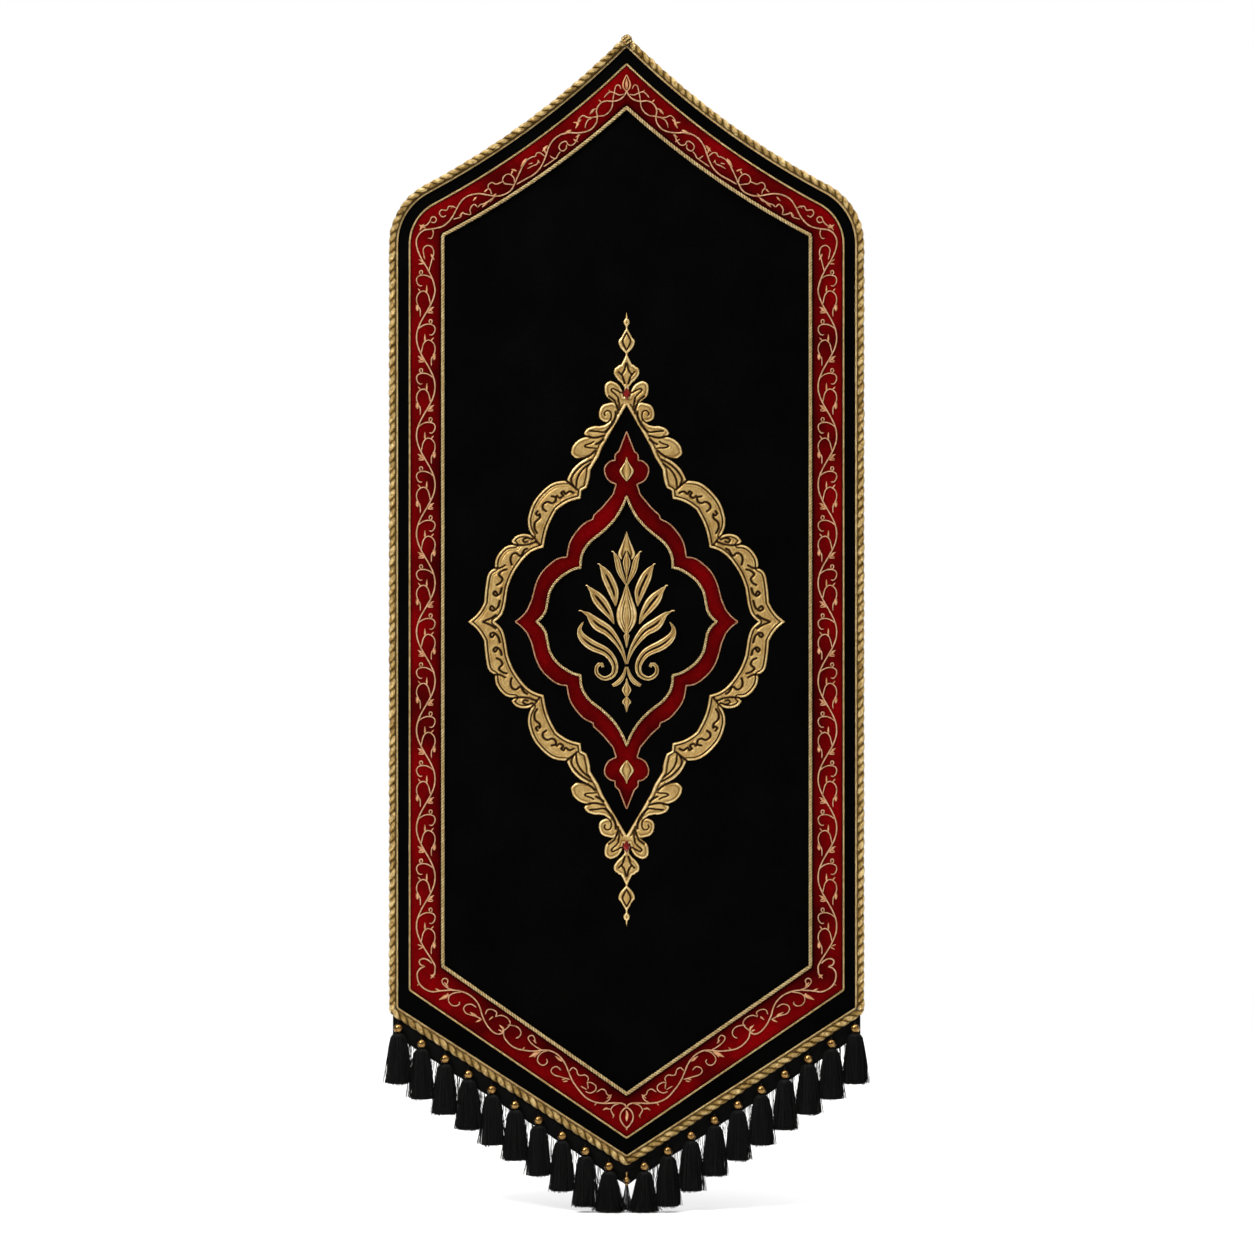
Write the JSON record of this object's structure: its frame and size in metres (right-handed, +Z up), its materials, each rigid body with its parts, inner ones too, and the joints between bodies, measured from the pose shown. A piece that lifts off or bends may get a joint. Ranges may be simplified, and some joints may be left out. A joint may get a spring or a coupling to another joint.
{
  "type": "religious banner",
  "caption": "Black velvet hanging banner with an ogee top, pointed hem, red velvet border, gold cords and rope, embroidered medallion, and black tassels with gold beads.",
  "frame": {"origin": "the point at the top of the cloth, midway through its thickness, where the banner hangs", "axes": "+Z up, -Y out of the embroidered face, +X to the right as the face is seen"},
  "size_m": [0.5274, 0.0148, 1.2918],
  "materials": {
    "black_velvet": "cut pile velvet",
    "red_velvet": "cut pile velvet",
    "gold_thread": "couched metal thread with a soft sheen",
    "black_silk": "twisted rayon yarn",
    "brass_bead": "polished, a little dark",
    "red_stone": "polished"
  },
  "bodies": {
    "root": {"velvet_ground": "black_velvet", "red_border": "red_velvet", "heading_strip": "black_silk", "edge_cord": "gold_thread", "border_outer_cord": "gold_thread", "border_inner_cord": "gold_thread", "edge_rope": "gold_thread", "hem_rope": "gold_thread", "medallion_frame": "gold_thread", "medallion_red_band": "red_velvet", "medallion_piping": "gold_thread", "palmette": "gold_thread", "diamond_top": "gold_thread", "diamond_bottom": "gold_thread", "gem_top": "red_stone", "gem_bottom": "red_stone", "tassel_01": "black_silk", "tassel_02": "black_silk", "tassel_03": "black_silk", "tassel_04": "black_silk", "tassel_05": "black_silk", "tassel_06": "black_silk", "tassel_07": "black_silk", "tassel_08": "black_silk", "tassel_09": "black_silk", "tassel_10": "black_silk", "tassel_11": "black_silk", "tassel_12": "black_silk", "tassel_13": "black_silk", "tassel_14": "black_silk", "tassel_15": "black_silk", "tassel_16": "black_silk", "tassel_17": "black_silk", "tassel_18": "black_silk", "tassel_19": "black_silk", "tassel_20": "black_silk", "tassel_21": "black_silk", "bead_01": "brass_bead", "bead_02": "brass_bead", "bead_03": "brass_bead", "bead_04": "brass_bead", "bead_05": "brass_bead", "bead_06": "brass_bead", "bead_07": "brass_bead", "bead_08": "brass_bead", "bead_09": "brass_bead", "bead_10": "brass_bead", "bead_11": "brass_bead", "bead_12": "brass_bead", "bead_13": "brass_bead", "bead_14": "brass_bead", "bead_15": "brass_bead", "bead_16": "brass_bead", "bead_17": "brass_bead", "bead_18": "brass_bead", "bead_19": "brass_bead", "bead_20": "brass_bead", "bead_21": "brass_bead"}
  },
  "joints": []
}
